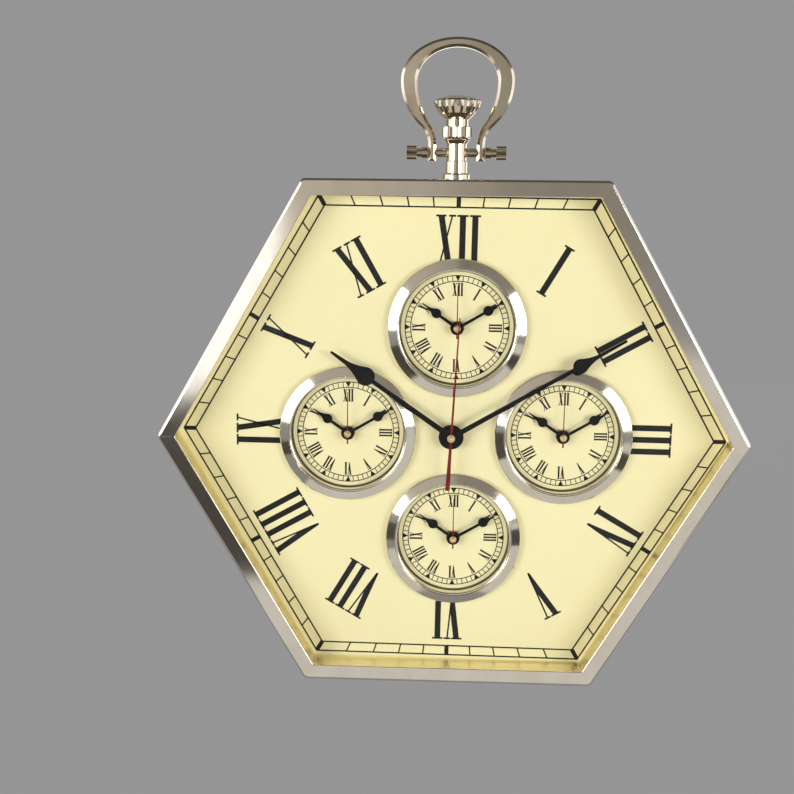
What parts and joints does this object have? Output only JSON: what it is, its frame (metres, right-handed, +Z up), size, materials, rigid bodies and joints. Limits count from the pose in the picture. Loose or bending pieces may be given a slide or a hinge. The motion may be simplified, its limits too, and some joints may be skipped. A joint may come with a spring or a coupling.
{
  "type": "world time wall clock",
  "caption": "Hexagonal wall clock shaped like a fob watch: small clocks for other time zones sit in one large dial under glass, with a fluted crown and a swinging bow on top",
  "frame": {"origin": "on the axis of the wall screw's hole in the hanger plate, in the plane of the wall", "axes": "+Z up, +Y into the wall, +X to the right of someone facing the dial; the dial faces -Y"},
  "size_m": [0.4572, 0.054, 0.5019],
  "materials": {
    "nickel": "polished, warm nickel plate on sheet and turned brass",
    "gilt": "polished gilt inner band",
    "brass": "plain brass",
    "glass": "clear flat glass",
    "dial_card": "matt cream printed card",
    "hand_black": "satin black enamel",
    "hand_red": "dark red enamel",
    "back_board": "black stained fibre board",
    "block_wood": "bare softwood",
    "steel": "zinc plated",
    "movement_plastic": "black moulded",
    "knob_plastic": "white moulded",
    "wheel_plastic": "natural moulded",
    "magnet": "dark ground",
    "copper_coil": "copper winding on a steel stator",
    "circuit": "green laminate",
    "battery": "plain printed sleeve, no name"
  },
  "bodies": {
    "case": {"back_board": "back_board", "back_screws": "steel", "batteries": "battery", "bottom_bezel": "nickel", "bottom_movement": "movement_plastic", "bow_nuts": "nickel", "bow_pin": "nickel", "case_shell": "nickel", "circuit_board": "circuit", "corner_blocks": "block_wood", "crown": "nickel", "dial_nuts": "brass", "dial_plate": "dial_card", "drive_coil": "copper_coil", "front_glass": "glass", "hanger_plate": "steel", "left_bezel": "nickel", "left_movement": "movement_plastic", "movement_base": "movement_plastic", "movement_cover": "movement_plastic", "neck_collar": "nickel", "pendant_neck": "nickel", "pendant_nut": "steel", "right_bezel": "nickel", "right_movement": "movement_plastic", "small_dials": "dial_card", "spacer_band": "gilt", "top_bezel": "nickel", "top_movement": "movement_plastic", "train_plate": "brass"},
    "bow": {"bow": "nickel"},
    "seconds": {"second_hand": "hand_red", "second_arbor": "brass"},
    "step_wheel": {"step_wheel": "wheel_plastic"},
    "rotor": {"rotor": "magnet"},
    "third_wheel": {"third_wheel": "brass"},
    "centre_wheel": {"centre_wheel": "brass"},
    "minutes": {"minute_hand": "hand_black", "minute_arbor": "brass"},
    "hours": {"hour_hand": "hand_black", "hour_wheel": "wheel_plastic"},
    "minute_work": {"minute_work_wheel": "wheel_plastic"},
    "setting": {"set_knob": "knob_plastic"},
    "top_minutes": {"top_minute_hand": "hand_black"},
    "top_hours": {"top_hour_hand": "hand_black"},
    "top_seconds": {"top_second_hand": "hand_red"},
    "top_setting": {"top_set_knob": "knob_plastic"},
    "left_minutes": {"left_minute_hand": "hand_black"},
    "left_hours": {"left_hour_hand": "hand_black"},
    "left_seconds": {"left_second_hand": "hand_red"},
    "left_setting": {"left_set_knob": "knob_plastic"},
    "right_minutes": {"right_minute_hand": "hand_black"},
    "right_hours": {"right_hour_hand": "hand_black"},
    "right_seconds": {"right_second_hand": "hand_red"},
    "right_setting": {"right_set_knob": "knob_plastic"},
    "bottom_minutes": {"bottom_minute_hand": "hand_black"},
    "bottom_hours": {"bottom_hour_hand": "hand_black"},
    "bottom_seconds": {"bottom_second_hand": "hand_red"},
    "bottom_setting": {"bottom_set_knob": "knob_plastic"}
  },
  "joints": [
    {"name": "bow_swing", "type": "hinge", "parent": "case", "child": "bow", "pos_m": [0, -0.0185, 0.0684], "axis": [1, 0, 0], "range_deg": [-110, 110]},
    {"name": "second_spin", "type": "hinge", "parent": "case", "child": "seconds", "pos_m": [0, -0.025, -0.15004], "axis": [0, 1, 0], "continuous": true},
    {"name": "step_spin", "type": "hinge", "parent": "case", "child": "step_wheel", "pos_m": [0.0015, -0.025, -0.14153], "axis": [0, 1, 0], "continuous": true},
    {"name": "rotor_spin", "type": "hinge", "parent": "case", "child": "rotor", "pos_m": [0.00465, -0.025, -0.13608], "axis": [0, 1, 0], "continuous": true},
    {"name": "third_spin", "type": "hinge", "parent": "case", "child": "third_wheel", "pos_m": [-0.00816, -0.025, -0.15004], "axis": [0, 1, 0], "continuous": true},
    {"name": "centre_spin", "type": "hinge", "parent": "case", "child": "centre_wheel", "pos_m": [0, -0.025, -0.15004], "axis": [0, 1, 0], "continuous": true},
    {"name": "minute_spin", "type": "hinge", "parent": "case", "child": "minutes", "pos_m": [0, -0.025, -0.15004], "axis": [0, 1, 0], "continuous": true},
    {"name": "hour_spin", "type": "hinge", "parent": "case", "child": "hours", "pos_m": [0, -0.025, -0.15004], "axis": [0, 1, 0], "continuous": true},
    {"name": "minute_work_spin", "type": "hinge", "parent": "case", "child": "minute_work", "pos_m": [0.0096, -0.025, -0.15004], "axis": [0, 1, 0], "continuous": true},
    {"name": "set_spin", "type": "hinge", "parent": "case", "child": "setting", "pos_m": [0.01581, -0.025, -0.14195], "axis": [0, 1, 0], "continuous": true},
    {"name": "top_minute_spin", "type": "hinge", "parent": "case", "child": "top_minutes", "pos_m": [0.0031, -0.025, -0.06504], "axis": [0, 1, 0], "continuous": true},
    {"name": "top_hour_spin", "type": "hinge", "parent": "case", "child": "top_hours", "pos_m": [0.0031, -0.025, -0.06504], "axis": [0, 1, 0], "continuous": true},
    {"name": "top_second_spin", "type": "hinge", "parent": "case", "child": "top_seconds", "pos_m": [0.0031, -0.025, -0.06504], "axis": [0, 1, 0], "continuous": true},
    {"name": "top_set_spin", "type": "hinge", "parent": "case", "child": "top_setting", "pos_m": [0.01891, -0.025, -0.05695], "axis": [0, 1, 0], "continuous": true},
    {"name": "left_minute_spin", "type": "hinge", "parent": "case", "child": "left_minutes", "pos_m": [-0.0819, -0.025, -0.15004], "axis": [0, 1, 0], "continuous": true},
    {"name": "left_hour_spin", "type": "hinge", "parent": "case", "child": "left_hours", "pos_m": [-0.0819, -0.025, -0.15004], "axis": [0, 1, 0], "continuous": true},
    {"name": "left_second_spin", "type": "hinge", "parent": "case", "child": "left_seconds", "pos_m": [-0.0819, -0.025, -0.15004], "axis": [0, 1, 0], "continuous": true},
    {"name": "left_set_spin", "type": "hinge", "parent": "case", "child": "left_setting", "pos_m": [-0.06609, -0.025, -0.14195], "axis": [0, 1, 0], "continuous": true},
    {"name": "right_minute_spin", "type": "hinge", "parent": "case", "child": "right_minutes", "pos_m": [0.0881, -0.025, -0.15004], "axis": [0, 1, 0], "continuous": true},
    {"name": "right_hour_spin", "type": "hinge", "parent": "case", "child": "right_hours", "pos_m": [0.0881, -0.025, -0.15004], "axis": [0, 1, 0], "continuous": true},
    {"name": "right_second_spin", "type": "hinge", "parent": "case", "child": "right_seconds", "pos_m": [0.0881, -0.025, -0.15004], "axis": [0, 1, 0], "continuous": true},
    {"name": "right_set_spin", "type": "hinge", "parent": "case", "child": "right_setting", "pos_m": [0.10391, -0.025, -0.14195], "axis": [0, 1, 0], "continuous": true},
    {"name": "bottom_minute_spin", "type": "hinge", "parent": "case", "child": "bottom_minutes", "pos_m": [0.0031, -0.025, -0.23504], "axis": [0, 1, 0], "continuous": true},
    {"name": "bottom_hour_spin", "type": "hinge", "parent": "case", "child": "bottom_hours", "pos_m": [0.0031, -0.025, -0.23504], "axis": [0, 1, 0], "continuous": true},
    {"name": "bottom_second_spin", "type": "hinge", "parent": "case", "child": "bottom_seconds", "pos_m": [0.0031, -0.025, -0.23504], "axis": [0, 1, 0], "continuous": true},
    {"name": "bottom_set_spin", "type": "hinge", "parent": "case", "child": "bottom_setting", "pos_m": [0.01891, -0.025, -0.22695], "axis": [0, 1, 0], "continuous": true}
  ],
  "couplings": [
    {"joint": "step_spin", "follows": "second_spin", "ratio": -5},
    {"joint": "rotor_spin", "follows": "second_spin", "ratio": 30},
    {"joint": "third_spin", "follows": "second_spin", "ratio": -0.13333},
    {"joint": "centre_spin", "follows": "second_spin", "ratio": 0.016667},
    {"joint": "hour_spin", "follows": "minute_spin", "ratio": 0.083333},
    {"joint": "minute_work_spin", "follows": "minute_spin", "ratio": -0.33333},
    {"joint": "set_spin", "follows": "minute_spin", "ratio": 0.8},
    {"joint": "top_hour_spin", "follows": "top_minute_spin", "ratio": 0.083333},
    {"joint": "top_set_spin", "follows": "top_minute_spin", "ratio": 0.8},
    {"joint": "left_hour_spin", "follows": "left_minute_spin", "ratio": 0.083333},
    {"joint": "left_set_spin", "follows": "left_minute_spin", "ratio": 0.8},
    {"joint": "right_hour_spin", "follows": "right_minute_spin", "ratio": 0.083333},
    {"joint": "right_set_spin", "follows": "right_minute_spin", "ratio": 0.8},
    {"joint": "bottom_hour_spin", "follows": "bottom_minute_spin", "ratio": 0.083333},
    {"joint": "bottom_set_spin", "follows": "bottom_minute_spin", "ratio": 0.8}
  ]
}
